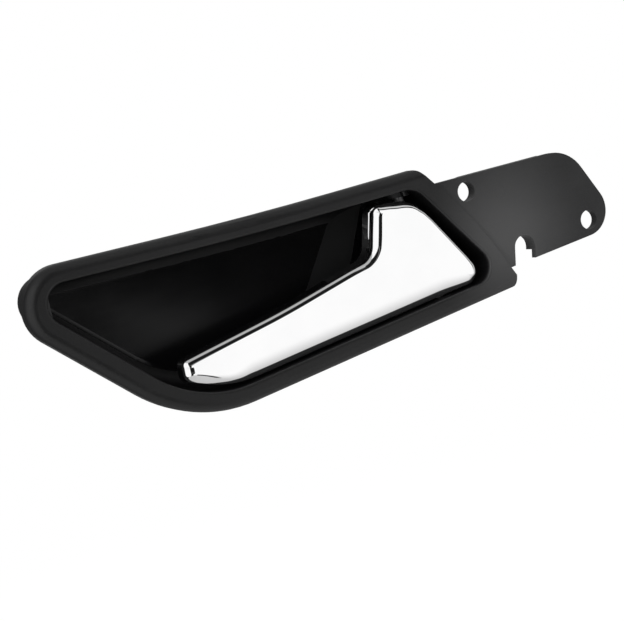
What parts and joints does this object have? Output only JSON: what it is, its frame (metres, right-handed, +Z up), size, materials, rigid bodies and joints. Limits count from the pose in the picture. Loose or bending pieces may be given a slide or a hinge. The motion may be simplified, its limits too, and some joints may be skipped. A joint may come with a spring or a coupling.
{
  "type": "car interior door handle",
  "caption": "Inside door handle for a car: a black bezel with a deep finger bowl and a screw flange, and a sprung chrome pull lever that turns on a pin and pulls a release cable.",
  "frame": {"origin": "midway between the two round screw holes, on the front plane of the bezel", "axes": "+X along the handle from the finger bowl to the screw flange, -Y out of the door towards the user, +Z up"},
  "size_m": [0.2049, 0.0306, 0.0566],
  "materials": {
    "housing_plastic": "satin black moulding, fine grain on the flange",
    "bush_plastic": "dark bearing plastic",
    "buffer_rubber": "soft black rubber",
    "spring_steel": "drawn spring wire",
    "lever_chrome": "bright plated chrome",
    "carrier_plastic": "black moulding",
    "screw_steel": "zinc plated",
    "pin_steel": "ground steel"
  },
  "bodies": {
    "housing": {"housing": "housing_plastic", "hinge_bush_upper": "bush_plastic", "hinge_bush_lower": "bush_plastic", "rest_buffer": "buffer_rubber", "travel_buffer": "buffer_rubber", "return_spring": "spring_steel"},
    "lever": {"lever_shell": "lever_chrome", "lever_carrier": "carrier_plastic", "carrier_screws": "screw_steel", "hinge_pin": "pin_steel"}
  },
  "joints": [
    {"name": "lever_hinge", "type": "hinge", "parent": "housing", "child": "lever", "pos_m": [-0.04035, 0.0075, -0.004], "axis": [-0.2113, 0, 0.9774], "range_deg": [0, 32], "stiffness_Nm_per_rad": 0.15, "springref_deg": -34.38, "deforming": ["return_spring"]}
  ]
}
